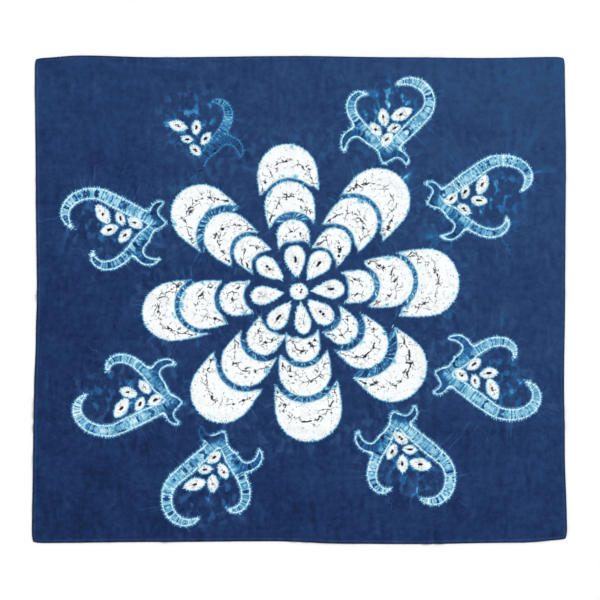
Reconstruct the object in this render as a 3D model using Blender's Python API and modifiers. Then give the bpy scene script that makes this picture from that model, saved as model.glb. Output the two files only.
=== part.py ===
"""A hand-dyed cotton tablecloth, opened out flat on a table.

One hemmed sheet of cotton, 1.50 m by 1.37 m, as it lies after it has been unfolded from a pressed
packet of four by four: the edges are slightly uneven, the folds stand up as low creases, and a few
soft wrinkles cross the field. The underside is flat on the table wherever no crease lifts it.

Metres, +Z up. X runs along the long side, Y along the short side, and the origin is the middle of
the underside.
"""

import bmesh
import bpy
from math import cos, exp, pi

# Driving dimensions.
LENGTH = 1.500
WIDTH = 1.370
FIELD_THICK = 0.0012
HEM_THICK = 0.0019
HEM_WIDTH = 0.010
HEM_SLOPE = 0.0012
CORNER_PULL = 0.0040
CORNER_REACH = 0.050
GRID_STEP = 0.029
LIES_FLAT_UNDER = 0.00015

# The four edges, each as a smooth curve through a few places: (place along the edge, distance out
# from the middle of the cloth).
EDGES = {
    "left": ((-0.66, 0.750), (-0.40, 0.7465), (-0.26, 0.744), (-0.10, 0.739), (0.02, 0.736),
             (0.30, 0.739), (0.66, 0.742)),
    "right": ((-0.66, 0.750), (-0.42, 0.744), (-0.24, 0.742), (0.02, 0.745), (0.40, 0.747),
              (0.66, 0.744)),
    "top": ((-0.74, 0.678), (-0.62, 0.685), (-0.40, 0.680), (0.00, 0.6835), (0.28, 0.680),
            (0.52, 0.678), (0.74, 0.681)),
    "bottom": ((-0.74, 0.682), (-0.40, 0.679), (-0.08, 0.677), (0.14, 0.684), (0.30, 0.685),
               (0.62, 0.681), (0.74, 0.673)),
}

# The pressed folds. A ridge fold stands up along its line. A valley fold lies on the table along
# its line, with the cloth lifted on both sides of it. Heights are (place along the fold, height).
FOLDS = (
    {"runs": "up", "place": -0.376, "kind": "ridge", "reach": 0.030,
     "heights": ((-0.66, 0.0040), (-0.30, 0.0046), (0.02, 0.0028), (0.34, 0.0020), (0.66, 0.0030))},
    {"runs": "up", "place": 0.001, "kind": "valley", "reach": 0.034,
     "heights": ((-0.66, 0.0022), (-0.34, 0.0014), (0.02, 0.0012), (0.34, 0.0016), (0.66, 0.0026))},
    {"runs": "up", "place": 0.376, "kind": "valley", "reach": 0.036,
     "heights": ((-0.66, 0.0034), (-0.34, 0.0036), (0.02, 0.0026), (0.34, 0.0020), (0.66, 0.0032))},
    {"runs": "across", "place": 0.014, "kind": "ridge", "reach": 0.034,
     "heights": ((-0.73, 0.0052), (-0.45, 0.0044), (-0.10, 0.0018), (0.36, 0.0026), (0.73, 0.0036))},
    {"runs": "across", "place": -0.340, "kind": "valley", "reach": 0.036,
     "heights": ((-0.73, 0.0040), (-0.38, 0.0030), (0.00, 0.0014), (0.38, 0.0030), (0.73, 0.0038))},
    {"runs": "across", "place": 0.342, "kind": "ridge", "reach": 0.032,
     "heights": ((-0.73, 0.0020), (-0.38, 0.0018), (0.00, 0.0012), (0.38, 0.0030), (0.73, 0.0036))},
)

# Soft wrinkles and low waves between the folds, each a hump along a straight line.
WRINKLES = (
    {"name": "along the top edge", "start": (-0.68, 0.652), "end": (-0.33, 0.648),
     "height": 0.0050, "reach": 0.032},
    {"name": "under the top edge", "start": (-0.54, 0.598), "end": (-0.40, 0.600),
     "height": 0.0030, "reach": 0.030},
    {"name": "lower left, off the edge", "start": (-0.745, -0.290), "end": (-0.665, -0.340),
     "height": 0.0045, "reach": 0.032},
    {"name": "lower left, down the edge", "start": (-0.735, -0.450), "end": (-0.680, -0.650),
     "height": 0.0050, "reach": 0.040},
    {"name": "lower left panel", "start": (-0.470, -0.225), "end": (-0.470, -0.660),
     "height": 0.0030, "reach": 0.042},
    {"name": "lower right corner wave", "start": (0.715, -0.370), "end": (0.545, -0.585),
     "height": 0.0060, "reach": 0.060},
    {"name": "lower right corner curl", "start": (0.675, -0.670), "end": (0.748, -0.655),
     "height": 0.0040, "reach": 0.034},
    {"name": "right panel wave", "start": (0.500, 0.300), "end": (0.735, 0.140),
     "height": 0.0032, "reach": 0.055},
    {"name": "upper right panel wave", "start": (0.150, 0.520), "end": (0.330, 0.660),
     "height": 0.0030, "reach": 0.050},
    {"name": "left panel wave", "start": (-0.720, 0.300), "end": (-0.520, 0.160),
     "height": 0.0030, "reach": 0.052},
    {"name": "bottom panel wave", "start": (-0.300, -0.650), "end": (-0.120, -0.520),
     "height": 0.0028, "reach": 0.048},
)

INDIGO = (0.022, 0.062, 0.165)


def clear_scene():
    """Removes every object that the file starts with."""
    for obj in list(bpy.data.objects):
        bpy.data.objects.remove(obj, do_unlink=True)


def eased(table, at):
    """A smooth curve through (place, value) rows: a cosine step from each row to the next."""
    if at <= table[0][0]:
        return table[0][1]
    for (place_a, value_a), (place_b, value_b) in zip(table, table[1:]):
        if at <= place_b:
            share = (at - place_a) / (place_b - place_a)
            return value_a + (value_b - value_a) * (1 - cos(pi * share)) / 2
    return table[-1][1]


def grid_lines(side, runs):
    """Places of the sheet's grid lines across one side: dense at the hems and at the folds."""
    half = side / 2
    inner = half - HEM_WIDTH
    lines = {-half, half, -inner, inner, HEM_SLOPE - inner, inner - HEM_SLOPE}
    for fold in FOLDS:
        if fold["runs"] == runs:
            lines.update(fold["place"] + fold["reach"] * k / 2 for k in (-2, -1, 0, 1, 2))
    lines = sorted(lines)
    filled = []
    for low, high in zip(lines, lines[1:]):
        steps = max(1, round((high - low) / GRID_STEP))
        filled.extend(low + (high - low) * k / steps for k in range(steps))
    return filled + [lines[-1]]


def fold_height(fold, x, y):
    """How far one pressed fold lifts the cloth at a place."""
    off, along = (x - fold["place"], y) if fold["runs"] == "up" else (y - fold["place"], x)
    share = abs(off) / fold["reach"]
    if share >= 1:
        return 0.0
    shape = (1 - share) ** 2 if fold["kind"] == "ridge" else 4 * share * (1 - share)
    return eased(fold["heights"], along) * shape


def wrinkle_height(wrinkle, x, y):
    """A hump with a bell section across its line, fading out past the line's two ends."""
    (x0, y0), (x1, y1) = wrinkle["start"], wrinkle["end"]
    run_x, run_y = x1 - x0, y1 - y0
    length = (run_x**2 + run_y**2) ** 0.5
    along = ((x - x0) * run_x + (y - y0) * run_y) / length
    across = ((x - x0) * run_y - (y - y0) * run_x) / length
    past = max(-along, along - length, 0.0)
    reach = wrinkle["reach"] / 2
    return wrinkle["height"] * exp(-(across**2 + past**2) / reach**2)


def lift(x, y):
    """Height of the underside over the table, exactly 0 where the cloth lies flat."""
    height = sum(fold_height(fold, x, y) for fold in FOLDS)
    height += sum(wrinkle_height(wrinkle, x, y) for wrinkle in WRINKLES)
    return height - LIES_FLAT_UNDER if height > LIES_FLAT_UNDER else 0.0


def laid_out(x, y):
    """Where a place of the straight-cut cloth comes to lie between its four uneven edges."""
    share_x = x / LENGTH + 0.5
    share_y = y / WIDTH + 0.5
    left, right = -eased(EDGES["left"], y), eased(EDGES["right"], y)
    bottom, top = -eased(EDGES["bottom"], x), eased(EDGES["top"], x)
    near_x = max(0.0, 1 - (LENGTH / 2 - abs(x)) / CORNER_REACH)
    near_y = max(0.0, 1 - (WIDTH / 2 - abs(y)) / CORNER_REACH)
    pull = CORNER_PULL * (near_x * near_y) ** 4
    new_x = left + (right - left) * share_x - pull * (1 if x > 0 else -1)
    new_y = bottom + (top - bottom) * share_y - pull * (1 if y > 0 else -1)
    return new_x, new_y


def dyed_cotton():
    """Deep indigo cotton with a matt face."""
    material = bpy.data.materials.new("indigo_cotton")
    material.use_nodes = True
    shader = material.node_tree.nodes["Principled BSDF"]
    shader.inputs["Base Color"].default_value = (*INDIGO, 1)
    shader.inputs["Roughness"].default_value = 0.85
    shader.inputs["Metallic"].default_value = 0.0
    return material


def make_cloth(collection):
    """The hemmed sheet: a grid laid out on the table, thickened upwards, thicker in the hem."""
    columns = grid_lines(LENGTH, "up")
    rows = grid_lines(WIDTH, "across")
    bm = bmesh.new()
    bmesh.ops.create_grid(bm, x_segments=len(columns) - 1, y_segments=len(rows) - 1, size=1.0)
    in_hem = []
    bm.verts.index_update()
    for vert in bm.verts:
        column = round((vert.co.x + 1) / 2 * (len(columns) - 1))
        row = round((vert.co.y + 1) / 2 * (len(rows) - 1))
        x, y = columns[column], rows[row]
        if min(LENGTH / 2 - abs(x), WIDTH / 2 - abs(y)) < HEM_WIDTH + HEM_SLOPE / 2:
            in_hem.append(vert.index)
        vert.co = (*laid_out(x, y), lift(x, y))
    mesh = bpy.data.meshes.new("cloth")
    bm.to_mesh(mesh)
    bm.free()
    mesh.shade_smooth()

    cloth = bpy.data.objects.new("cloth", mesh)
    collection.objects.link(cloth)
    cloth.data.materials.append(dyed_cotton())
    cloth.vertex_groups.new(name="hem").add(in_hem, 1.0, "REPLACE")

    thicken = cloth.modifiers.new("thickness", "SOLIDIFY")
    thicken.thickness = HEM_THICK
    thicken.vertex_group = "hem"
    thicken.thickness_vertex_group = FIELD_THICK / HEM_THICK
    thicken.offset = 1.0
    return cloth


def main():
    clear_scene()
    collection = bpy.data.collections.new("batik_tablecloth")
    bpy.context.scene.collection.children.link(collection)
    make_cloth(collection)


main()
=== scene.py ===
"""The batik tablecloth, dressed: resist-dyed indigo cotton, laid out flat and seen from straight above."""

import math

import bpy
import numpy as np
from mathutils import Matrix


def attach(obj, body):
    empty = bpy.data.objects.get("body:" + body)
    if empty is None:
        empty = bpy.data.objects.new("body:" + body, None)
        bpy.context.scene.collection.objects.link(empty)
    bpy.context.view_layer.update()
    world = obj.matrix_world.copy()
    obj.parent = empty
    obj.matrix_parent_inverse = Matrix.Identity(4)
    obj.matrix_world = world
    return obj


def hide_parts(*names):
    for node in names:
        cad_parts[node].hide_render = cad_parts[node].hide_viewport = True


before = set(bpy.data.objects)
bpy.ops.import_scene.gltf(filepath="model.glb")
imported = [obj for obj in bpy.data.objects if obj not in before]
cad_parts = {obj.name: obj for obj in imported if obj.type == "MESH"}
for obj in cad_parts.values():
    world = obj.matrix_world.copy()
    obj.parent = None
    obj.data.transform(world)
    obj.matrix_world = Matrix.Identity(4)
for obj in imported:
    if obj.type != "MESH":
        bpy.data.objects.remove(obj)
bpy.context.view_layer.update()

MM = 0.001

# The sheet's measures, as the part's source has them, in metres.
LENGTH = 1.500
WIDTH = 1.370
CORNER_PULL = 0.0040
CORNER_REACH = 0.050
LIES_FLAT_UNDER = 0.00015

# The four edges: (place along the edge, distance out from the middle of the cloth).
EDGES = {
    "left": ((-0.66, 0.750), (-0.40, 0.7465), (-0.26, 0.744), (-0.10, 0.739), (0.02, 0.736),
             (0.30, 0.739), (0.66, 0.742)),
    "right": ((-0.66, 0.750), (-0.42, 0.744), (-0.24, 0.742), (0.02, 0.745), (0.40, 0.747),
              (0.66, 0.744)),
    "top": ((-0.74, 0.678), (-0.62, 0.685), (-0.40, 0.680), (0.00, 0.6835), (0.28, 0.680),
            (0.52, 0.678), (0.74, 0.681)),
    "bottom": ((-0.74, 0.682), (-0.40, 0.679), (-0.08, 0.677), (0.14, 0.684), (0.30, 0.685),
               (0.62, 0.681), (0.74, 0.673)),
}

# The pressed folds, as the part's source has them, but lower over the flower at the right. Heights are (place
# along the fold, height).
FOLDS = (
    {"runs": "up", "place": -0.376, "kind": "ridge", "reach": 0.030,
     "heights": ((-0.66, 0.0040), (-0.30, 0.0046), (0.02, 0.0028), (0.34, 0.0020), (0.66, 0.0030))},
    {"runs": "up", "place": 0.001, "kind": "valley", "reach": 0.034,
     "heights": ((-0.66, 0.0022), (-0.34, 0.0014), (0.02, 0.0012), (0.34, 0.0016), (0.66, 0.0026))},
    {"runs": "up", "place": 0.376, "kind": "valley", "reach": 0.036,
     "heights": ((-0.66, 0.0034), (-0.34, 0.0036), (0.02, 0.0014), (0.34, 0.0020), (0.66, 0.0032))},
    {"runs": "across", "place": 0.014, "kind": "ridge", "reach": 0.034,
     "heights": ((-0.73, 0.0052), (-0.45, 0.0044), (-0.10, 0.0018), (0.36, 0.0026), (0.73, 0.0036))},
    {"runs": "across", "place": -0.340, "kind": "valley", "reach": 0.036,
     "heights": ((-0.73, 0.0040), (-0.38, 0.0030), (0.00, 0.0014), (0.38, 0.0030), (0.73, 0.0038))},
    {"runs": "across", "place": 0.342, "kind": "ridge", "reach": 0.032,
     "heights": ((-0.73, 0.0020), (-0.38, 0.0018), (0.00, 0.0012), (0.38, 0.0030), (0.73, 0.0036))},
)

# Soft wrinkles and low waves, each a hump along a straight line.
WRINKLES = (
    {"name": "along the top edge", "start": (-0.68, 0.652), "end": (-0.33, 0.648),
     "height": 0.0050, "reach": 0.032},
    {"name": "under the top edge", "start": (-0.54, 0.598), "end": (-0.40, 0.600),
     "height": 0.0030, "reach": 0.030},
    {"name": "lower left, off the edge", "start": (-0.745, -0.290), "end": (-0.665, -0.340),
     "height": 0.0045, "reach": 0.032},
    {"name": "lower left, down the edge", "start": (-0.735, -0.450), "end": (-0.680, -0.650),
     "height": 0.0050, "reach": 0.040},
    {"name": "lower left panel", "start": (-0.470, -0.225), "end": (-0.470, -0.660),
     "height": 0.0030, "reach": 0.042},
    {"name": "lower right corner wave", "start": (0.715, -0.370), "end": (0.545, -0.585),
     "height": 0.0060, "reach": 0.060},
    {"name": "lower right corner curl", "start": (0.675, -0.670), "end": (0.748, -0.655),
     "height": 0.0040, "reach": 0.034},
    {"name": "right panel wave", "start": (0.500, 0.300), "end": (0.735, 0.140),
     "height": 0.0032, "reach": 0.055},
    {"name": "upper right panel wave", "start": (0.150, 0.520), "end": (0.330, 0.660),
     "height": 0.0030, "reach": 0.050},
    {"name": "left panel wave", "start": (-0.720, 0.300), "end": (-0.520, 0.160),
     "height": 0.0030, "reach": 0.052},
    {"name": "bottom panel wave", "start": (-0.300, -0.650), "end": (-0.120, -0.520),
     "height": 0.0028, "reach": 0.048},
)

# The sheet's thickness: (distance in from the edge, thickness). It is pressed thin along the stitch line.
THICKNESS = ((0.0, 0.00105), (0.0012, 0.00140), (0.0045, 0.00150), (0.0075, 0.00135),
             (0.0090, 0.00085), (0.0105, 0.00090), (0.0130, 0.00080))
MESH_STEP = 0.0071
EDGE_ROUND = 0.00035
CRUMPLE = 0.00055
CRUMPLE_SEED = 11
CRUMPLE_WAVES = 18
CRUMPLE_LENGTHS = (0.06, 0.20)
EDGE_CURL = 0.0014
EDGE_CURL_REACH = 0.013

# The baking map's strips: the foot and the height of the top and of the underside, and the feet of the two
# rows of faces in the rim.
MAP_SIDE, MAP_WIDE = 0.005, 0.99
MAP_TOP, MAP_UNDER = (0.345, 0.65), (0.025, 0.31)
MAP_RIMS, MAP_RIM_HIGH = (0.003, 0.012), 0.006

# The stitches of the hem.
STITCH_PITCH = 0.0030
STITCH_LENGTH = 0.0024
STITCH_WIDE = 0.00055
STITCH_LINE = 0.0090

# The motifs are laid out in millimetres on the cloth as it lies. A heading is in degrees clockwise from +Y.
FLOWER = (-2.0, 23.0)
DISC = (25.0, 22.5)
# A petal's scales, from the centre out: the reach outwards and back from the widest line, and the power of
# the egg's inner end, where a lower one is more pointed.
SCALES = (
    {"name": "drop", "out": 34.0, "back": 58.0, "power": 1.22},
    {"name": "first", "out": 45.0, "back": 150.0, "power": 2.0},
    {"name": "second", "out": 68.0, "back": 140.0, "power": 2.0},
    {"name": "third", "out": 90.0, "back": 230.0, "power": 2.0},
)
# Each petal's four scales: how far their outer edges are from the flower's middle, half their widths and
# their headings. Then the bands of ground under the last three, how far back their horns reach, and how pale
# the bands are.
PETALS = (
    {"name": "north", "outer": (130, 203, 310, 415), "half": (29, 45, 69, 84),
     "heading": (-6.5, -5.7, -6.1, -5.5), "bands": (8, 22, 10), "horns": (34, 66, 50), "tone": 0.8},
    {"name": "north-east", "outer": (134, 212, 315, 428), "half": (31, 46, 69, 90),
     "heading": (35.5, 37, 38, 40.9), "bands": (10, 12, 13), "horns": (50, 64, 82), "tone": 0.85},
    {"name": "east", "outer": (128, 213, 323, 450), "half": (26, 45, 71, 94),
     "heading": (86, 85, 83.6, 85.9), "bands": (13, 15, 13), "horns": (46, 76, 92), "tone": 0.95},
    {"name": "south-east", "outer": (126, 204, 302, 432), "half": (28, 45, 69, 96),
     "heading": (133, 130, 129, 129), "bands": (20, 20, 27), "horns": (50, 70, 92), "tone": 0.4},
    {"name": "south", "outer": (120, 198, 294, 421), "half": (22, 47, 72, 92),
     "heading": (172.5, 175.5, 175.5, 175.2), "bands": (14, 16, 18), "horns": (42, 60, 80), "tone": 0.65},
    {"name": "south-west", "outer": (129, 210, 315, 440), "half": (27, 47, 68, 89),
     "heading": (218, 217, 217, 217.6), "bands": (9, 19, 16), "horns": (50, 68, 74), "tone": 0.6},
    {"name": "west", "outer": (135, 223, 337, 443), "half": (26, 47, 66, 82),
     "heading": (264, 263.5, 261.9, 261.0), "bands": (21, 15, 14), "horns": (50, 66, 92), "tone": 0.7},
    {"name": "north-west", "outer": (146, 221, 320, 433), "half": (27, 45, 67, 85),
     "heading": (308, 309, 307.8, 308.3), "bands": (13, 12, 21), "horns": (46, 68, 82), "tone": 0.7},
)

# The innermost band of a petal is this much paler than its others.
FIRST_BAND_PALER = 0.22

# A scroll's limbs in its own frame: along from its pointed tip, and aside, towards its large arm. Tone is how
# pale a limb is inside, and give how much of a scroll's stretch it takes up. The heading swings by the turn
# over the length that is left after the straight share, later where its ease is over 1. Swell is what a bell
# at a third of the length adds to the half width, slim the share of it that is lost towards the end, and
# close the power by which the limb runs out.
LIMBS = (
    {"name": "large arm", "tone": 1.0, "give": 1.0, "start": (33.0, 4.0), "heading": 43.5, "turn": -185.0,
     "length": 350.0, "straight": 0.44, "ease": 1.0, "half": 16.5, "swell": 3.0, "slim": 0.12, "close": 8.0},
    {"name": "small arm", "tone": 0.92, "give": 0.55, "start": (33.0, 4.0), "heading": -40.0, "turn": 190.0,
     "length": 252.0, "straight": 0.39, "ease": 2.0, "half": 14.5, "swell": 0.0, "slim": 0.05, "close": 6.5},
    {"name": "large fin", "tone": 0.52, "give": 0.0, "start": (77.0, -41.0), "heading": -50.0, "turn": -172.0,
     "length": 127.0, "straight": 0.1, "ease": 1.0, "half": 14.5, "swell": 0.0, "slim": 0.12, "close": 4.0},
    {"name": "small fin", "tone": 0.34, "give": 0.0, "start": (29.0, 16.0), "heading": 75.0, "turn": 124.0,
     "length": 75.0, "straight": 0.15, "ease": 1.0, "half": 12.0, "swell": 0.0, "slim": 0.0, "close": 3.6},
    {"name": "tip", "tone": 0.15, "give": 0.0, "start": (27.0, 3.0), "heading": 186.0, "turn": 0.0,
     "length": 27.0, "straight": 0.0, "ease": 1.0, "half": 12.0, "swell": 0.0, "slim": 0.0, "close": 1.0},
)
LIMB_POINTS = 36
SWELL_AT, SWELL_REACH = 0.33, 0.17
# What a limb's half width loses at its very end, and the power of the length's share by which it goes.
LIMB_END = 4.0
LIMB_END_POWER = 14
# The arms start at this share of their width, and the slope brings them to all of it.
ARM_START = 0.7
ARM_SLOPE = 2.0
# How near two outlines come before they are rounded together.
ARM_JOINT = 4.0
FIN_JOINT = 20.0
# A limb's tone counts in full this far inside its outline, and fades at this distance towards the outside.
TONE_INSIDE = 12.0
TONE_FADE = 5.0
SEEDS = (
    {"name": "lowest", "at": (75.0, 8.0), "heading": 40.0, "length": 48.0, "half": 15.0},
    {"name": "left", "at": (105.0, -24.0), "heading": -40.0, "length": 48.0, "half": 14.0},
    {"name": "right", "at": (109.0, 28.0), "heading": 73.0, "length": 42.0, "half": 13.0},
    {"name": "top", "at": (141.0, -1.0), "heading": -10.0, "length": 51.0, "half": 15.5},
    {"name": "far right", "at": (151.0, 50.0), "heading": 66.0, "length": 64.0, "half": 17.5},
)
SEED_POWER = 1.5
SEED_SIZES = {"north-north-west": 0.84, "east-north-east": 0.94}
SEEDS_GIVE = 0.8
# Each scroll's stretch past a place near its tip, and how wide its large arm's side is. Side is 1 where the
# large arm is to the right of the heading, curl is added to the large arm's length, and seeds is how far its
# seeds are moved along and aside.
SCROLLS = (
    {"name": "north-north-east", "tip": (237, 377), "heading": 0, "stretch": -0.04,
     "wide": 0.985, "side": 1, "curl": 0, "seeds": (0, 0)},
    {"name": "east-north-east", "tip": (354, 271), "heading": 87.5, "stretch": 0.25,
     "wide": 0.85, "side": -1, "curl": 12, "seeds": (-4, 2)},
    {"name": "east-south-east", "tip": (376, -203), "heading": 92.0, "stretch": 0.25,
     "wide": 0.86, "side": 1, "curl": 24, "seeds": (2, -2)},
    {"name": "south-south-east", "tip": (261, -310), "heading": 169, "stretch": 0.15,
     "wide": 0.955, "side": -1, "curl": 6, "seeds": (6, 0)},
    {"name": "south-south-west", "tip": (-212, -365), "heading": 189.8, "stretch": 0.16,
     "wide": 0.97, "side": 1, "curl": 8, "seeds": (6, 6)},
    {"name": "west-south-west", "tip": (-326, -288), "heading": 280, "stretch": 0.25,
     "wide": 0.905, "side": -1, "curl": 8, "seeds": (3, 0)},
    {"name": "west-north-west", "tip": (-371, 216), "heading": 261, "stretch": 0.19,
     "wide": 0.885, "side": 1, "curl": 4, "seeds": (14, 7)},
    {"name": "north-north-west", "tip": (-274, 348), "heading": 354, "stretch": -0.02,
     "wide": 1.0, "side": -1, "curl": 0, "seeds": (1, 2)},
)
SCROLL_SIZE = 0.97
STRETCH_FROM = 60.0
# A scroll is all within this distance of a place this far along from its tip.
SCROLL_MIDDLE = 120.0
SCROLL_ROOM = 330.0
# The scroll whose large arm and base took the dye: only its small arm and large fin show, and faintly.
# Its tone is below 0. It grows to this share of a limb's own from the first place over the second distance.
HALF_LOST = "north-north-west"
FAINT_TONE = 0.8
FAINT_ALONG = (-15.0, 110.0)
FAINT_ASIDE = (8.0, 16.0)
# The scroll whose small fin took the dye, and the tone that this fin has left.
FIN_LOST = "south-south-west"
FIN_LOST_TONE = 0.06
# The haze: a ring about the flower, and a soft round in each scroll, which a scroll's stretch moves on.
RING_HAZE, RING_OUT, RING_REACH = 0.42, 420.0, 50.0
ROUND_PLACE, ROUND_GIVE, ROUND_REACH = (155.0, 18.0), 120.0, 98.0
# A scale's horns are cut on this slant over this much of their width. Its run goes round a pivot this far
# behind half its horns' reach, at this share of the outer edge's distance.
HORN_SLANT = 1.1
HORN_WIDE = 16.0
PIVOT_BEHIND = 10.0
RUN_SHARE = 0.85
FAR = 400.0
RUN_ROOM = 800.0
LIMB_RUN_ROOM = 100.0
# A middle line past this number is a short dash, and not the line along a scale. The disc has none.
DASHED = 1000.0
NO_DASH = 20.0
DROP_DASH_AT, DROP_DASH_HALF = -4.0, 8.0
SEED_DASH_HALF = 5.0
SEED_RUN_SHARE = 1.4

# How much light falls on the cloth, where 1 shows a pure white as it is.
STUDIO_LIGHT = 1.12
# The light that the fibres' own gloss adds to every colour.
GLOSS_LIGHT = 0.006

# How the dye takes: (depth of dye, its colour as red, green and blue out of 255).
DYE = (
    (0.00, (251, 253, 253)),
    (0.10, (206, 241, 250)),
    (0.22, (160, 214, 234)),
    (0.38, (98, 170, 206)),
    (0.55, (44, 114, 168)),
    (0.70, (38, 88, 142)),
    (0.85, (46, 76, 120)),
    (1.00, (36, 61, 105)),
    (1.14, (25, 46, 88)),
    (1.30, (18, 28, 50)),
)

CRACK_COLOUR = (24, 32, 54)
FLOOR_SHADE = 0.897

# The pitch of the threads and of the hem thread's plies, in millimetres.
WARP_PITCH, WEFT_PITCH, PLY_PITCH = 0.72, 0.76, 0.5


def eased(table, at):
    """A smooth curve through (place, value) rows: a cosine step from each row to the next."""
    places, values = np.array(table).T
    at = np.clip(at, places[0], places[-1])
    row = np.clip(np.searchsorted(places, at, side="right") - 1, 0, len(places) - 2)
    share = (at - places[row]) / (places[row + 1] - places[row])
    return values[row] + (values[row + 1] - values[row]) * (1 - np.cos(np.pi * share)) / 2


def fold_height(fold, x, y):
    """How far a pressed fold lifts the cloth: (1 - share)^2 for a ridge, 4 share (1 - share) for a valley."""
    off, along = (x - fold["place"], y) if fold["runs"] == "up" else (y - fold["place"], x)
    share = np.minimum(np.abs(off) / fold["reach"], 1)
    shape = (1 - share) ** 2 if fold["kind"] == "ridge" else 4 * share * (1 - share)
    return eased(fold["heights"], along) * shape


def wrinkle_height(wrinkle, x, y):
    """A hump with a bell section exp(-(d / half the reach)^2) over its line, fading out past its ends."""
    (x0, y0), (x1, y1) = wrinkle["start"], wrinkle["end"]
    run_x, run_y = x1 - x0, y1 - y0
    length = math.hypot(run_x, run_y)
    along = ((x - x0) * run_x + (y - y0) * run_y) / length
    across = ((x - x0) * run_y - (y - y0) * run_x) / length
    past = np.maximum(np.maximum(-along, along - length), 0)
    return wrinkle["height"] * np.exp(-(across**2 + past**2) / (wrinkle["reach"] / 2) ** 2)


def crumple_height(x, y):
    """A soft hand crumple: the part above 0 of a sum of plane waves in all directions."""
    draw = np.random.default_rng(CRUMPLE_SEED)
    total = np.zeros_like(x)
    for _ in range(CRUMPLE_WAVES):
        heading, length = draw.uniform(0, 2 * np.pi), draw.uniform(*CRUMPLE_LENGTHS)
        start = draw.uniform(0, 2 * np.pi)
        total += np.cos((x * np.cos(heading) + y * np.sin(heading)) * 2 * np.pi / length + start)
    return CRUMPLE * np.maximum(total / 3, 0)


def lift(x, y):
    """Height of the underside over the table, 0 where nothing lifts the cloth."""
    height = sum(fold_height(fold, x, y) for fold in FOLDS)
    height = height + sum(wrinkle_height(wrinkle, x, y) for wrinkle in WRINKLES)
    curl = EDGE_CURL * np.maximum(1 - edge_distance(x, y) / EDGE_CURL_REACH, 0) ** 2
    return np.maximum(height - LIES_FLAT_UNDER, 0) + crumple_height(x, y) + curl


def laid_out(x, y):
    """Where a place of the straight-cut cloth comes to lie between its four uneven edges."""
    left, right = -eased(EDGES["left"], y), eased(EDGES["right"], y)
    bottom, top = -eased(EDGES["bottom"], x), eased(EDGES["top"], x)
    near_x = np.maximum(0, 1 - (LENGTH / 2 - np.abs(x)) / CORNER_REACH)
    near_y = np.maximum(0, 1 - (WIDTH / 2 - np.abs(y)) / CORNER_REACH)
    pull = CORNER_PULL * (near_x * near_y) ** 4
    new_x = left + (right - left) * (x / LENGTH + 0.5) - pull * np.sign(x)
    new_y = bottom + (top - bottom) * (y / WIDTH + 0.5) - pull * np.sign(y)
    return new_x, new_y


def edge_distance(x, y):
    """How far a place of the straight-cut cloth is from the nearest edge."""
    return np.minimum(LENGTH / 2 - np.abs(x), WIDTH / 2 - np.abs(y))


def cloth_thickness(x, y):
    return np.interp(edge_distance(x, y), *np.array(THICKNESS).T)


def turned(x, y, place, heading):
    """Distance along a heading from a place, and distance aside, to the right of the heading."""
    a = math.radians(heading)
    dx, dy = x - place[0], y - place[1]
    return dx * math.sin(a) + dy * math.cos(a), dx * math.cos(a) - dy * math.sin(a)


def egg(along, aside, out, back, half, power):
    """Distance out from the egg |aside/half|^p + |along/reach|^p = 1: (s - 1) over the length of s's slope,
    where s is the left side to the power 1/p. The inner end has its own reach and its own p."""
    reach = np.where(along > 0, out, back)
    p = np.where(along > 0, 2.0 if back != out else power, power)
    a, b = np.abs(aside) / half + 1e-6, np.abs(along) / reach + 1e-6
    s = (a**p + b**p) ** (1 / p)
    slope = np.hypot(a ** (p - 1) / half, b ** (p - 1) / reach) * s ** (1 - p)
    return (s - 1) / np.maximum(slope, 0.35 / np.maximum(half, reach))


def round_run(along, aside, half):
    """Distance round a piece, by the angle about its middle. A face's corners are on one side of the seam."""
    angle = np.arctan2(aside, along)
    first = angle[..., :1]
    return (first + (angle - first + np.pi) % (2 * np.pi) - np.pi) * half


def scale_shell(petal, k, x, y):
    """A scale's whole egg: its gap, and the place's distance along from the widest line and aside."""
    scale, half = SCALES[k], petal["half"][k]
    along, aside = turned(x, y, FLOWER, petal["heading"][k])
    along = along - petal["outer"][k] + scale["out"]
    return egg(along, aside, scale["out"], scale["back"], half, scale["power"]), along, aside


def scale_marks(petal, k, x, y):
    """A petal's scale: its egg, less the last scale's egg grown by the band between them, with its horns cut
    on a slant. Returns the piece's gap, run and middle line, and the band's gap."""
    scale, half = SCALES[k], petal["half"][k]
    shell, along, aside = scale_shell(petal, k, x, y)
    if k == 0:
        middle = DASHED + np.hypot(aside, np.maximum(np.abs(along - DROP_DASH_AT) - DROP_DASH_HALF, 0))
        return shell, round_run(along, aside, half), middle, None
    horn = petal["horns"][k - 1]
    pivot = 0.5 * horn + PIVOT_BEHIND
    run = round_run(along + pivot, aside, RUN_SHARE * (scale["out"] + pivot))
    shell_in = scale_shell(petal, k - 1, x, y)[0]
    notch = shell_in - petal["bands"][k - 1]
    cut = -horn - along + HORN_SLANT * np.minimum(half - np.abs(aside), HORN_WIDE)
    cut = cut / math.hypot(1, HORN_SLANT)
    gap = np.maximum(np.maximum(shell, -notch), cut)
    return gap, run, (-shell - notch) / 2, np.maximum(np.maximum(shell, notch), np.maximum(-shell_in, cut))


def stretched(along, stretch):
    """A place along a scroll, moved on by the stretch past its start."""
    return along * SCROLL_SIZE + np.maximum(along - STRETCH_FROM, 0) * stretch


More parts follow.
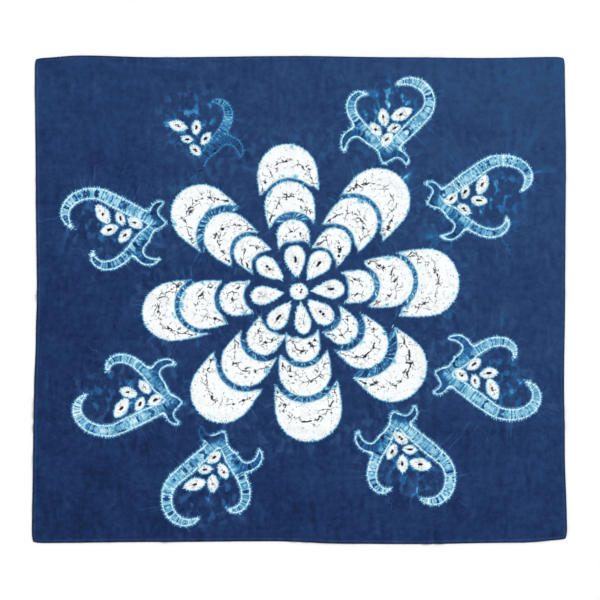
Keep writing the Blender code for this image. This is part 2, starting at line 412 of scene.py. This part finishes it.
def limb_path(limb, scroll):
    """A limb's middle line: steps of equal length whose heading swings after the straight share. A scroll's
    curl makes its large arm longer at the same bend. The half width ends below 0, which closes the limb."""
    straight = limb["straight"] * limb["length"]
    length = limb["length"] + (scroll["curl"] if limb["name"] == "large arm" else 0)
    share = np.linspace(0, 1, LIMB_POINTS)
    swing = np.clip((share * length - straight) / (length - straight), 0, 1)
    turn = limb["turn"] * (length - straight) / (limb["length"] - straight)
    heading = np.radians(limb["heading"] + turn * swing ** limb["ease"])[:-1]
    step = length / (LIMB_POINTS - 1)
    along = limb["start"][0] + np.append(0, np.cumsum(np.cos(heading) * step))
    aside = limb["start"][1] + np.append(0, np.cumsum(np.sin(heading) * step))
    swell = limb["swell"] * np.exp(-((share - SWELL_AT) / SWELL_REACH) ** 2)
    half = limb["half"] * (1 - limb["slim"] * share) + swell
    half = half * (1 - share ** limb["close"]) ** 0.75 - LIMB_END * share**LIMB_END_POWER
    if "arm" in limb["name"]:
        half = half * np.minimum(ARM_START + ARM_SLOPE * share, 1)
    wide = np.where((aside > 0) | (limb["name"] == "large fin"), scroll["wide"], 1)
    return stretched(along, scroll["stretch"] * limb["give"]), aside * wide, half, share * length


def limb_marks(limb, scroll, along, aside):
    """Distance out from a limb's outline and run along it, from the nearest stretch of its middle line."""
    pu, pv, half, run = limb_path(limb, scroll)
    du, dv = np.diff(pu), np.diff(pv)
    u, v = along[..., None] - pu[:-1], aside[..., None] - pv[:-1]
    t = np.clip((u * du + v * dv) / (du**2 + dv**2), 0, 1)
    off = np.hypot(u - t * du, v - t * dv) - half[:-1] - t * np.diff(half)
    nearest = np.argmin(off, axis=-1)[..., None]
    gap = np.take_along_axis(off, nearest, -1)[..., 0]
    share = nearest[..., 0] + np.take_along_axis(t, nearest, -1)[..., 0]
    return gap, share * run[1]


def joined(a, b, reach):
    """The smaller of two distances, rounded in where they come within reach of each other."""
    near = np.maximum(reach - np.abs(a - b), 0) / reach
    return np.minimum(a, b) - near**2 * reach / 4


def seed_marks(seed, scroll, along, aside):
    """A seed: an egg with both ends pointed, with a short dash on its axis."""
    wide = scroll["wide"] if seed["at"][1] > 0 else 1
    u = along - stretched(seed["at"][0], scroll["stretch"] * SEEDS_GIVE) - scroll["seeds"][0]
    v = aside - seed["at"][1] * wide - scroll["seeds"][1]
    h = math.radians(seed["heading"])
    u, v = u * math.cos(h) + v * math.sin(h), v * math.cos(h) - u * math.sin(h)
    size = SEED_SIZES.get(scroll["name"], 1.0)
    reach, half = size * seed["length"] / 2, size * seed["half"]
    middle = DASHED + np.hypot(v, np.maximum(np.abs(u) - SEED_DASH_HALF, 0))
    return egg(u, v, reach, reach, half, SEED_POWER), round_run(u, v, half * SEED_RUN_SHARE), middle


def white_pieces():
    """For every white piece, a function that gives its gap, run and middle line at places in millimetres."""
    def disc(x, y):
        u, v = turned(x, y, FLOWER, 90.0)
        middle = DASHED + NO_DASH + np.hypot(u, v)
        return egg(u, v, DISC[0], DISC[0], DISC[1], 2.0), round_run(u, v, DISC[1]), middle

    def scale_of(petal, k):
        return lambda x, y: scale_marks(petal, k, x, y)[:3]

    def seed_of(scroll, seed):
        def marks(x, y):
            along, aside = turned(x, y, scroll["tip"], scroll["heading"])
            return seed_marks(seed, scroll, along, aside * scroll["side"])
        return marks

    pieces = [disc]
    for petal in PETALS:
        pieces += [scale_of(petal, k) for k in range(len(SCALES))]
    for scroll in SCROLLS:
        pieces += [seed_of(scroll, seed) for seed in SEEDS]
    return pieces


def nearest_marks(x, y, pieces):
    """For each face, the three marks of the piece whose gap is smallest at the face's middle, at each of its
    corners. Each piece's run is moved on by its own room, so that no two pieces share a pattern."""
    middle_x, middle_y = x.mean(axis=1, keepdims=True), y.mean(axis=1, keepdims=True)
    gaps = np.stack([piece(middle_x, middle_y)[0][:, 0] for piece in pieces])
    chosen = np.argmin(gaps, axis=0)
    marks = np.zeros((*x.shape, 3))
    for number, piece in enumerate(pieces):
        faces = chosen == number
        found = piece(x[faces], y[faces])
        for k in range(3):
            marks[faces, :, k] = found[k] + (RUN_ROOM * number if k == 1 else 0)
    marks[..., 0] = np.minimum(marks[..., 0], FAR)
    return marks


def band_pieces():
    """The dyed band under each scale: its gap, its run and its tone."""
    def band_of(petal, k):
        def marks(x, y):
            _, run, _, gap = scale_marks(petal, k, x, y)
            return gap, run, np.full(x.shape, petal["tone"] + (FIRST_BAND_PALER if k == 1 else 0))
        return marks
    return [band_of(petal, k) for petal in PETALS for k in range(1, len(SCALES))]


def scroll_pieces():
    """The scrolls: the outline of all limbs joined, the nearest limb's run and a blend of their tones."""
    def scroll_of(scroll):
        lost = scroll["name"] == HALF_LOST
        limbs = [limb for limb in LIMBS if not lost or limb["name"] in ("small arm", "large fin", "tip")]
        tones = np.array([FIN_LOST_TONE if (scroll["name"], limb["name"]) == (FIN_LOST, "small fin")
                          else limb["tone"] for limb in limbs])

        def marks(x, y):
            along, aside = turned(x, y, scroll["tip"], scroll["heading"])
            aside = aside * scroll["side"]
            gap = np.full(x.shape, FAR)
            run, tone = np.zeros(x.shape), np.zeros(x.shape)
            near = np.hypot(along - SCROLL_MIDDLE, aside).min(axis=1) < SCROLL_ROOM
            u, v = along[near], aside[near]
            found = [limb_marks(limb, scroll, u, v) for limb in limbs]
            joint = np.full(u.shape, FAR)
            for limb, (limb_gap, _) in zip(limbs, found):
                joint = joined(joint, limb_gap, ARM_JOINT if "arm" in limb["name"] else FIN_JOINT)
            chosen = np.argmin([limb_gap.mean(axis=1) for limb_gap, _ in found], axis=0)
            runs = np.stack([limb_run + LIMB_RUN_ROOM * k for k, (_, limb_run) in enumerate(found)])
            gap[near] = joint
            run[near] = runs[chosen, np.arange(len(chosen))]
            weights = [np.exp(-np.maximum(limb_gap + TONE_INSIDE, 0) / TONE_FADE) for limb_gap, _ in found]
            weights = np.stack(weights) + 1e-12
            tone[near] = np.tensordot(tones, weights / weights.sum(axis=0), 1)
            if lost:
                tone *= -FAINT_TONE * np.clip((along - FAINT_ALONG[0]) / FAINT_ALONG[1], 0, 1)
                tone *= np.clip((FAINT_ASIDE[0] - aside) / FAINT_ASIDE[1], 0, 1)
            return gap, run, tone
        return marks
    return [scroll_of(scroll) for scroll in SCROLLS]


def haze_marks(x, y):
    """Where dye reached the tied cloth unevenly: a soft round in each scroll and a ring about the flower."""
    out = np.hypot(x - FLOWER[0], y - FLOWER[1])
    haze = RING_HAZE * np.exp(-((out - RING_OUT) / RING_REACH) ** 2)
    for scroll in SCROLLS:
        along, aside = turned(x, y, scroll["tip"], scroll["heading"])
        along = along - ROUND_PLACE[0] - ROUND_GIVE * scroll["stretch"]
        off = np.hypot(along, aside * scroll["side"] - ROUND_PLACE[1])
        haze = np.maximum(haze, np.exp(-((off / ROUND_REACH) ** 4)))
    return haze


def filled_lines(side, runs):
    """Places of the mesh's lines across one side: at the hem's steps and the folds, and evenly between."""
    half = side / 2
    lines = {s * (half - distance) for distance, _ in THICKNESS for s in (-1, 1)}
    for fold in FOLDS:
        if fold["runs"] == runs:
            lines.update(fold["place"] + fold["reach"] * k / 2 for k in (-2, -1, 0, 1, 2))
    lines = sorted(lines)
    filled = []
    for low, high in zip(lines, lines[1:]):
        steps = max(1, round((high - low) / MESH_STEP))
        filled.extend(low + (high - low) * k / steps for k in range(steps))
    return np.array([*filled, lines[-1]])


def new_mesh(name, places, faces):
    mesh = bpy.data.meshes.new(name)
    mesh.from_pydata(places.reshape(-1, 3).tolist(), [], faces)
    mesh.update()
    mesh.shade_smooth()
    piece = bpy.data.objects.new(name, mesh)
    bpy.context.scene.collection.objects.link(piece)
    return piece


def make_cloth():
    """The sheet as two surfaces over a grid of the straight-cut cloth's places (x, y): the underside at
    (laid_out(x, y), lift(x, y)) and the top a thickness above it, closed by a rim that rounds the edge."""
    columns, rows = filled_lines(LENGTH, "up"), filled_lines(WIDTH, "across")
    wide, high = len(columns), len(rows)
    x, y = np.meshgrid(columns, rows)
    height, thick = lift(x, y), cloth_thickness(x, y)
    laid_x, laid_y = laid_out(x, y)
    inner_x = laid_x - EDGE_ROUND * np.sign(x) * (np.abs(x) > LENGTH / 2 - 1e-6)
    inner_y = laid_y - EDGE_ROUND * np.sign(y) * (np.abs(y) > WIDTH / 2 - 1e-6)
    under = np.stack([inner_x, inner_y, height], -1)
    top = np.stack([inner_x, inner_y, height + thick], -1)
    rim = np.stack([laid_x, laid_y, height + thick * 0.5], -1)

    number = np.arange(wide * high).reshape(high, wide)
    cells = np.stack([number[:-1, :-1], number[:-1, 1:], number[1:, 1:], number[1:, :-1]], -1).reshape(-1, 4)
    ring = np.concatenate([number[0, :-1], number[:-1, -1], number[-1, :0:-1], number[:0:-1, 0]])
    on_ring = wide * high * 2 + np.arange(len(ring))
    after, ring_after = np.roll(on_ring, -1), np.roll(ring, -1)
    lower = np.stack([ring, ring_after, after, on_ring], -1)
    upper = np.stack([on_ring, after, ring_after + wide * high, ring + wide * high], -1)
    faces = np.concatenate([cells + wide * high, cells[:, ::-1], lower, upper])
    places = np.concatenate([under.reshape(-1, 3), top.reshape(-1, 3), rim.reshape(-1, 3)[ring]])
    cloth = new_mesh("batik_cloth", places, faces.tolist())

    # The marks of the pattern, at each corner of each face, in millimetres.
    at_x, at_y = laid_x.ravel()[cells] / MM, laid_y.ravel()[cells] / MM
    edge = edge_distance(x, y).ravel()[cells] / MM
    rims = np.zeros((len(ring) * 2, 4, 3))

    def put(name, top_marks, under_marks, rim_marks):
        whole = np.concatenate([top_marks, under_marks[:, ::-1], rim_marks])
        layer = cloth.data.attributes.new(name, "FLOAT_VECTOR", "CORNER")
        layer.data.foreach_set("vector", whole.astype(np.float32).ravel())

    for name, pieces in (("white_marks", white_pieces()), ("band_marks", band_pieces()),
                         ("scroll_marks", scroll_pieces())):
        marks = nearest_marks(at_x, at_y, pieces)
        put(name, marks, marks, rims + (FAR, 0, 0))
    haze = haze_marks(at_x, at_y)
    top_marks, under_marks = (np.stack([haze, np.full(haze.shape, back), edge], -1) for back in (0.0, 1.0))
    put("cloth_marks", top_marks, under_marks, rims)

    # One map for the whole piece: the top fills most of it, then the underside, then the rim along its foot.
    share_x, share_y = (x / LENGTH + 0.5).ravel()[cells], (y / WIDTH + 0.5).ravel()[cells]
    top_map, under_map = (np.stack([MAP_SIDE + MAP_WIDE * share_x, foot + high * share_y], -1)
                          for foot, high in (MAP_TOP, MAP_UNDER))
    along = np.arange(len(ring)) / len(ring)
    past = along + 1 / len(ring)
    rim_maps = [np.stack([np.stack([MAP_SIDE + MAP_WIDE * u, foot + MAP_RIM_HIGH * v + 0 * u], -1)
                          for u, v in ((along, 0), (past, 0), (past, 1), (along, 1))], 1)
                for foot in MAP_RIMS]
    layer = cloth.data.uv_layers.new(name="OFBake")
    whole = np.concatenate([top_map, under_map[:, ::-1], *rim_maps])
    layer.uv.foreach_set("vector", whole.astype(np.float32).ravel())
    return cloth


def stitch_places():
    """Places and directions of the hem's stitches on the straight-cut cloth, evenly along each side."""
    half_x, half_y = LENGTH / 2 - STITCH_LINE, WIDTH / 2 - STITCH_LINE
    x, y, run_x, run_y = [], [], [], []
    for half, other, runs in ((half_x, half_y, (1, 0)), (half_y, half_x, (0, 1))):
        count = round(2 * half / STITCH_PITCH)
        along = (np.arange(count) + 0.5) / count * 2 * half - half
        for side in (-1, 1):
            x.append(along if runs[0] else np.full(count, side * other))
            y.append(along if runs[1] else np.full(count, side * other))
            run_x.append(np.full(count, runs[0]))
            run_y.append(np.full(count, runs[1]))
    return [np.concatenate(values) for values in (x, y, run_x, run_y)]


def make_stitches():
    """The hem's running stitches, each a short closed thread: rings of a flattened tube whose half width is
    (1 - t^4)^(1/2) of the full one, for t from -1 to 1 along it, over the top of the cloth."""
    x, y, run_x, run_y = stitch_places()
    t = np.array([-0.97, -0.6, 0.6, 0.97])
    size = np.sqrt(1 - t**4)
    angle = np.arange(5) / 5 * 2 * np.pi
    shift = STITCH_LENGTH / 2
    here_x = x[:, None] + run_x[:, None] * t * shift
    here_y = y[:, None] + run_y[:, None] * t * shift
    laid_x, laid_y = laid_out(here_x, here_y)
    top = lift(here_x, here_y) + cloth_thickness(here_x, here_y)
    aside = STITCH_WIDE / 2 * size[:, None] * np.cos(angle)
    up = STITCH_WIDE / 2 * size[:, None] * (np.sin(angle) * 0.8 + 0.5)
    place_x = laid_x[..., None] + run_y[:, None, None] * aside
    place_y = laid_y[..., None] - run_x[:, None, None] * aside
    place_z = top[..., None] + up
    places = np.stack([place_x, place_y, place_z], -1)

    rings, sides = len(t), len(angle)
    number = np.arange(rings * sides).reshape(rings, sides)
    after = np.roll(number, -1, axis=1)
    walls = np.stack([number[:-1], number[1:], after[1:], after[:-1]], -1).reshape(-1, 4)
    caps = [number[0][:3], number[0][[0, 2, 3]], number[0][[0, 3, 4]],
            number[-1][[0, 2, 1]], number[-1][[0, 3, 2]], number[-1][[0, 4, 3]]]
    shift_on = np.arange(len(x))[:, None, None] * rings * sides
    walls = (walls[None] + shift_on).reshape(-1, 4)
    caps = (np.array(caps)[None] + shift_on).reshape(-1, 3)
    return new_mesh("hem_stitches", places, walls.tolist() + caps.tolist())


class Amount:
    """A number that a material works out at each place. Plain sums on it make Math nodes."""

    def __init__(self, tree, socket):
        self.tree, self.socket = tree, socket

    def math(self, operation, *others):
        node = self.tree.nodes.new("ShaderNodeMath")
        node.operation = operation
        for socket, value in zip(node.inputs, (self, *others)):
            fill(self.tree, socket, value)
        return Amount(self.tree, node.outputs[0])

    def __add__(self, other):
        return self.math("ADD", other)

    def __sub__(self, other):
        return self.math("SUBTRACT", other)

    def __mul__(self, other):
        return self.math("MULTIPLY", other)

    def __truediv__(self, other):
        return self.math("DIVIDE", other)

    def size(self):
        return self.math("ABSOLUTE")

    def least(self, other):
        return self.math("MINIMUM", other)

    def most(self, other):
        return self.math("MAXIMUM", other)

    def wave(self, length):
        return (self * (2 * math.pi / length)).math("SINE")

    def rise(self, low, high):
        """0 at low, 1 at high, and a smooth step between them."""
        node = self.tree.nodes.new("ShaderNodeMapRange")
        node.interpolation_type = "SMOOTHSTEP"
        for socket, value in zip(node.inputs, (self, low, high)):
            fill(self.tree, socket, value)
        return Amount(self.tree, node.outputs[0])

    def towards(self, other, share):
        """This number where share is 0, and the other where it is 1."""
        node = self.tree.nodes.new("ShaderNodeMix")
        for socket, value in zip((node.inputs[0], node.inputs[2], node.inputs[3]), (share, self, other)):
            fill(self.tree, socket, value)
        return Amount(self.tree, node.outputs[0])


def fill(tree, socket, value):
    if isinstance(value, Amount):
        tree.links.new(value.socket, socket)
    else:
        socket.default_value = value


def new_finish(name):
    material = bpy.data.materials.new(name)
    material.use_nodes = True
    return material, material.node_tree, material.node_tree.nodes["Principled BSDF"]


def place_node(tree, kind, *place):
    """A texture node of a kind, with its place made up of three amounts or numbers."""
    joined_up = tree.nodes.new("ShaderNodeCombineXYZ")
    for socket, value in zip(joined_up.inputs, place):
        fill(tree, socket, value)
    node = tree.nodes.new(kind)
    node.inputs["Scale"].default_value = 1.0
    tree.links.new(joined_up.outputs[0], node.inputs["Vector"])
    return node


def cloud(tree, x, y, z=0.0, detail=1.0, rough=0.5):
    """Soft noise of about -1 to 1, whose spots are about as wide as 1 of the given numbers."""
    node = place_node(tree, "ShaderNodeTexNoise", x, y, z)
    node.inputs["Detail"].default_value = detail
    node.inputs["Roughness"].default_value = rough
    return (Amount(tree, node.outputs[0]) - 0.5) * 6.0


def scattered(tree, x, y, size, feature="F1"):
    """Distance to the nearest of many scattered points, or to the lines between the points' own fields where
    the feature is DISTANCE_TO_EDGE, in the given numbers' own unit."""
    node = place_node(tree, "ShaderNodeTexVoronoi", x / size, y / size, 0.0)
    node.feature = feature
    return Amount(tree, node.outputs["Distance"]) * size


def marks_of(tree, name):
    source = tree.nodes.new("ShaderNodeAttribute")
    source.attribute_name = name
    parts = tree.nodes.new("ShaderNodeSeparateXYZ")
    tree.links.new(source.outputs["Vector"], parts.inputs[0])
    return [Amount(tree, socket) for socket in parts.outputs]


def place_in_mm(tree):
    source = tree.nodes.new("ShaderNodeTexCoord")
    parts = tree.nodes.new("ShaderNodeSeparateXYZ")
    tree.links.new(source.outputs["Object"], parts.inputs[0])
    return [Amount(tree, socket) * 1000.0 for socket in parts.outputs]


def linear(colour):
    """A colour out of 255, seen under the studio's light, as the share of light that the cloth gives back."""
    share = np.array(colour) / 255
    light = np.where(share > 0.04045, ((share + 0.055) / 1.055) ** 2.4, share / 12.92)
    return (*np.maximum(light / STUDIO_LIGHT - GLOSS_LIGHT, 0.002).tolist(), 1.0)


def dyed_colour(tree, depth):
    """The dye's colour for its depth, through the rows of DYE."""
    ramp = tree.nodes.new("ShaderNodeValToRGB")
    elements = ramp.color_ramp.elements
    deepest = DYE[-1][0]
    while len(elements) < len(DYE):
        elements.new(1.0)
    for element, (at, colour) in zip(elements, DYE):
        element.position = at / deepest
        element.color = linear(colour)
    fill(tree, ramp.inputs[0], depth / deepest)
    return ramp.outputs[0]


def raise_threads(tree, shader, height, strength, distance):
    bump = tree.nodes.new("ShaderNodeBump")
    bump.inputs["Strength"].default_value = strength
    bump.inputs["Distance"].default_value = distance
    fill(tree, bump.inputs["Height"], height)
    tree.links.new(bump.outputs[0], shader.inputs["Normal"])


def resist_dyed_cotton():
    """Indigo cotton, stitched and tied before it was dyed: white where the ties kept the dye out."""
    material, tree, shader = new_finish("indigo_cotton_dressed")
    x, y, _ = place_in_mm(tree)
    haze, back, edge = marks_of(tree, "cloth_marks")
    gap, run, middle = marks_of(tree, "white_marks")
    band_gap, band_run, band_tone = marks_of(tree, "band_marks")
    scroll_gap, scroll_run, scroll_tone = marks_of(tree, "scroll_marks")
    waver = cloud(tree, x / 16.0, y / 16.0, 3.0) * 0.7

    # The ground: slow clouds, fine mottling, upright streaks, a painted sheen that makes the upper right
    # paler, pale smears in the haze.
    ground = cloud(tree, x / 110.0, y / 110.0, 7.0, 3.0, 0.6) * 0.045 + 1.02
    ground = ground + cloud(tree, x / 19.0, y / 19.0, 1.0, 3.0, 0.7) * 0.07
    upright = cloud(tree, x / 16.0, y / 90.0, 5.0, 2.0) * cloud(tree, x / 90.0, y / 90.0, 6.0).rise(-0.6, 1.0)
    ground = ground + upright * 0.06
    # Painted sheen: the dye is made lighter towards the upper right, where the light falls from.
    ground = ground - x * 0.00008 - y * 0.00012 - x * y * 0.00000004
    smears = cloud(tree, x / 20.0, y / 27.0, 9.0, 2.0, 0.4).rise(-0.05, 0.85)
    ground = ground - smears * haze * 0.42

    # Streaks that run out from the tied outlines.
    bundles = cloud(tree, x / 70.0, y / 70.0, 4.0, 1.0).rise(-0.9, 0.9)
    rays = cloud(tree, run / 10.0, gap / 90.0, 2.0, 3.0).rise(-0.1, 1.5) * bundles
    ground = ground - rays * gap.rise(58.0, 0.0) * 0.48
    rays = cloud(tree, scroll_run / 10.0, scroll_gap / 80.0, 5.0, 3.0).rise(0.0, 1.6) * bundles
    ground = ground - rays * scroll_gap.rise(45.0, 0.0) * 0.40
    rays = cloud(tree, scroll_run / 6.0, scroll_gap / 170.0, 9.0, 1.0).rise(0.4, 1.4) * bundles
    ground = ground - rays * scroll_gap.rise(110.0, 10.0) * 0.36

    # The scroll that took the dye has a tone below 0.
    faint, scroll_tone = scroll_tone.rise(-0.01, -0.06), scroll_tone.size()

    # The scrolls: a pale serrated outline with needles, mottled inside, with dark ticks in from both edges.
    outline = scroll_gap + waver
    across = cloud(tree, scroll_run / 4.0, scroll_gap / 18.0, 1.0, 1.0)
    patches = cloud(tree, scroll_run / 15.0, scroll_gap / 20.0, 8.0, 2.0)
    inside = outline.rise(1.0, -2.0)
    fill_depth = scroll_tone * -0.74 + 1.03 + across * 0.08 + cloud(tree, x / 55.0, y / 55.0, 2.0) * 0.10
    fill_depth = fill_depth + cloud(tree, scroll_run / 8.0, scroll_gap / 10.0, 3.0, 2.0) * 0.13
    fill_depth = fill_depth + patches.rise(0.40, 0.95) * scroll_tone.rise(0.1, 0.7) * 0.55
    ticks = cloud(tree, scroll_run / 3.4, scroll_gap / 60.0, 15.0, 1.0).rise(0.35, 0.75)
    fill_depth = fill_depth + ticks * scroll_gap.rise(-14.0, -5.5) * scroll_tone.rise(0.0, 0.2) * 0.86
    line = (outline + 2.2 + across * 0.8).size()
    line_depth = line.rise(0.9, 3.9) * 0.9 + 0.05 + scroll_tone.rise(0.7, 0.2) * 0.10
    line_depth = line_depth + across.rise(-0.1, 0.9) * 0.28 + across.rise(1.2, 1.9) * 0.5
    line_depth = line_depth + line.rise(3.0, 7.0) * 0.5 + scroll_tone.rise(0.14, 0.0) * 0.8 + faint * 0.36
    needles = cloud(tree, scroll_run / 2.6, scroll_gap / 60.0, 6.0, 1.0)
    needle_depth = (outline - needles.rise(-0.3, 1.4) * 6.6).rise(-1.5, 4.6) * 0.76 + 0.24 + inside
    needle_depth = needle_depth + outline.rise(5.0, 12.0) * 0.5
    needle_depth = needle_depth + scroll_tone.rise(0.14, 0.0) * 0.8 + faint * 0.30
    scroll_depth = ground.towards(fill_depth, inside).least(line_depth).least(needle_depth)

    # The bands between scales: streaks across, dark patches.
    across = cloud(tree, band_run / 4.6, band_gap / 60.0, 2.0, 1.0)
    patches = cloud(tree, band_run / 18.0, band_gap / 60.0, 4.0, 2.0)
    band_depth = band_tone * -0.42 + 0.67 + across * 0.13 + patches.rise(-0.5, 0.6) * 0.52
    band_depth = band_depth + cloud(tree, x / 9.0, y / 9.0, 4.0, 2.0) * 0.19 + across.rise(0.7, 1.3) * 0.3
    depth = scroll_depth.towards(band_depth, (band_gap + waver).rise(0.0, -3.5))

    # The white pieces: a serrated edge, with pale needles outwards.
    serrated = cloud(tree, run / 4.0, gap / 60.0, 3.0, 1.0)
    needles = cloud(tree, run / 3.3, gap / 80.0, 13.0, 1.0).rise(-0.6, 1.3)
    core = (gap + waver + serrated * 1.3 + 0.9).rise(-1.6, 1.6)
    fringe = (gap + waver - needles * 5.0).rise(-2.0, 3.0) * 0.82 + 0.18
    depth = depth.least(core.least(fringe) + gap.rise(4.0, 12.0) * 0.5)

    # Crackle in the white: a broken line along each scale with twigs, a dash in the rest, edge ticks, blots.
    on_scale = middle.rise(600.0, 400.0)
    branch = cloud(tree, x / 12.0, y / 12.0, 5.0, 3.0, 0.65)
    broken = cloud(tree, x / 15.0, y / 15.0, 2.0, 3.0)
    spine = (middle + branch * 4.0).size()
    spine_line = (spine - broken.rise(0.0, 1.5) * 3.2).rise(1.5, 0.6) * broken.rise(-0.4, 0.1)
    by_spine = (middle + branch * 3.0).size().rise(24.0, 6.0) * on_scale
    seam = scattered(tree, x + branch * 2.4, y + broken * 2.4, 21.0, "DISTANCE_TO_EDGE")
    seam = (seam - branch.rise(0.2, 1.4) * 1.1).rise(1.1, 0.45)
    seam = seam * cloud(tree, x / 17.0, y / 17.0, 8.0, 1.0).rise(-0.15, 0.15) * by_spine.most(0.16)
    dash = ((middle - DASHED).size() + branch * 1.3).rise(4.8, 2.9)
    wisp = (cloud(tree, run / 10.0, 1.0, 9.0) + branch * 0.10).size().rise(0.14, 0.05)
    wisp = wisp * (middle - DASHED + branch * 3.0).size().rise(15.0, 11.0) * broken.rise(-0.3, 0.2)
    off_x, off_y = x - FLOWER[0], y - FLOWER[1]
    on_disc = ((off_x * off_x + off_y * off_y).math("SQRT") + broken * 4.0).rise(18.0, 13.0)
    dots = (scattered(tree, x, y, 9.0) + branch * 0.8).rise(4.4, 3.1) * on_disc
    tick = (cloud(tree, run / 5.5, gap / 90.0, 11.0, 1.0) + branch * 0.10).size().rise(0.17, 0.05)
    tick = tick * (gap - cloud(tree, run / 5.0, 3.0, 2.0) * 4.0).rise(-7.5, -4.0)
    tick = tick * cloud(tree, x / 20.0, y / 20.0, 12.0).rise(-0.1, 0.4)
    blot = cloud(tree, x / 22.0, y / 22.0, 3.0, 1.0).rise(0.0, 0.5)
    blot = scattered(tree, x, y, 8.0).rise(2.2, 1.2) * blot
    crackle = spine_line.most(dash).most(seam).most(tick * 0.75).most(blot * 0.85)
    crackle = crackle.most(wisp * 0.6).most(dots)
    crackle = crackle * gap.rise(-0.5, -4.0)
    stain = cloud(tree, x / 26.0, y / 26.0, 14.0, 1.0).rise(0.7, 1.2) * gap.rise(-16.0, -6.0) * on_scale
    depth = depth + stain * (cloud(tree, x / 5.0, y / 5.0, 2.0, 2.0) * 0.08 + 0.28) * gap.rise(1.0, -2.0)

    # The hem: painted shade darkens the rounded turned edge, and it is worn paler beside the stitch line. The
    # back is a little paler.
    # Painted shade: the outer few millimetres of the hem are darkened as if the rounded edge turned away from
    # the light.
    depth = depth + edge.rise(4.5, 0.8) * 0.17
    depth = depth - (edge - 7.0).size().rise(2.6, 0.4) * 0.12
    depth = depth.towards(depth * 0.92 + 0.03, back)

    # The weave: threads both ways, uneven ones among them.
    warp, weft = x.wave(WARP_PITCH), y.wave(WEFT_PITCH)
    slubs = cloud(tree, x / 90.0, y / 0.9, 1.0, 1.0) + cloud(tree, x / 0.9, y / 90.0, 2.0, 1.0)
    depth = depth + warp * weft * 0.012 + slubs * 0.012
    cracked = tree.nodes.new("ShaderNodeMix")
    cracked.data_type = "RGBA"
    fill(tree, cracked.inputs[0], crackle)
    tree.links.new(dyed_colour(tree, depth), cracked.inputs[6])
    cracked.inputs[7].default_value = linear(CRACK_COLOUR)
    tree.links.new(cracked.outputs[2], shader.inputs["Base Color"])
    pucker = cloud(tree, run / 3.5, gap / 12.0, 4.0) * gap.size().rise(14.0, 2.0)
    height = warp * weft * 0.03 + slubs * 0.03 + pucker * 0.10
    height = height + cloud(tree, x / 18.0, y / 18.0, 6.0, 3.0) * 0.25
    raise_threads(tree, shader, height, 0.35, MM)
    shader.inputs["Roughness"].default_value = 0.88
    shader.inputs["Sheen Weight"].default_value = 0.05
    shader.inputs["Sheen Roughness"].default_value = 0.4
    shader.inputs["Specular IOR Level"].default_value = 0.2
    return material


def hem_thread():
    """Indigo sewing thread: two plies that wind round each other."""
    material, tree, shader = new_finish("hem_thread")
    x, y, _ = place_in_mm(tree)
    plies = (x + y).wave(PLY_PITCH) * 0.5 + 0.5
    tone = cloud(tree, x / 40.0, y / 40.0, 2.0, 2.0) * 0.06 + plies * 0.10 + 0.80
    tree.links.new(dyed_colour(tree, tone), shader.inputs["Base Color"])
    raise_threads(tree, shader, plies, 0.4, 0.1 * MM)
    shader.inputs["Roughness"].default_value = 0.6
    return material


# The photo's frame is 1.6824 m wide on the cloth, and its middle is a little off the cloth's own.
FRAME_WIDTH = 1.6824
CAMERA_HEIGHT = 7.0
CAMERA_PLACE = (0.0014, -0.0007)
SENSOR = 36.0
FLOOR_HALF = 20.0
FLOOR_DROP = 0.0001
KEY_TOWARDS = (0.52, 0.46, 0.72)
KEY_LIGHT = 0.50
KEY_ANGLE = 34.0
SKY_STRENGTH = 0.62


def make_camera():
    data = bpy.data.cameras.new("camera")
    data.sensor_width = SENSOR
    data.lens = SENSOR * CAMERA_HEIGHT / FRAME_WIDTH
    data.clip_end = 50.0
    camera = bpy.data.objects.new("camera", data)
    camera.location = (*CAMERA_PLACE, CAMERA_HEIGHT)
    bpy.context.scene.collection.objects.link(camera)
    bpy.context.scene.camera = camera


def make_lights():
    data = bpy.data.lights.new("key", "SUN")
    away = np.array(KEY_TOWARDS) / np.linalg.norm(KEY_TOWARDS)
    data.energy = KEY_LIGHT * math.pi / away[2]
    data.angle = math.radians(KEY_ANGLE)
    key = bpy.data.objects.new("key", data)
    key.rotation_euler = (0.0, math.acos(away[2]), math.atan2(away[1], away[0]))
    bpy.context.scene.collection.objects.link(key)
    world = bpy.data.worlds.new("studio")
    world.use_nodes = True
    world.node_tree.nodes["Background"].inputs["Color"].default_value = (1.0, 1.0, 1.0, 1.0)
    world.node_tree.nodes["Background"].inputs["Strength"].default_value = SKY_STRENGTH
    bpy.context.scene.world = world
    bpy.context.scene.view_settings.view_transform = "Standard"


def make_floor():
    """A plain pale surface just under the cloth."""
    h = FLOOR_HALF
    places = np.array([(-h, -h, 0), (h, -h, 0), (h, h, 0), (-h, h, 0)]) - (0, 0, FLOOR_DROP)
    floor = new_mesh("floor", places, [[0, 1, 2, 3]])
    material, _, shader = new_finish("pale_floor")
    shader.inputs["Base Color"].default_value = (FLOOR_SHADE, FLOOR_SHADE, FLOOR_SHADE, 1.0)
    shader.inputs["Roughness"].default_value = 0.9
    floor.data.materials.append(material)


cloth = make_cloth()
cloth.data.materials.append(resist_dyed_cotton())
stitches = make_stitches()
stitches.data.materials.append(hem_thread())
for piece in (cloth, stitches):
    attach(piece, "root")
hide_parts("cloth")

make_floor()
make_lights()
make_camera()

bpy.context.view_layer.update()
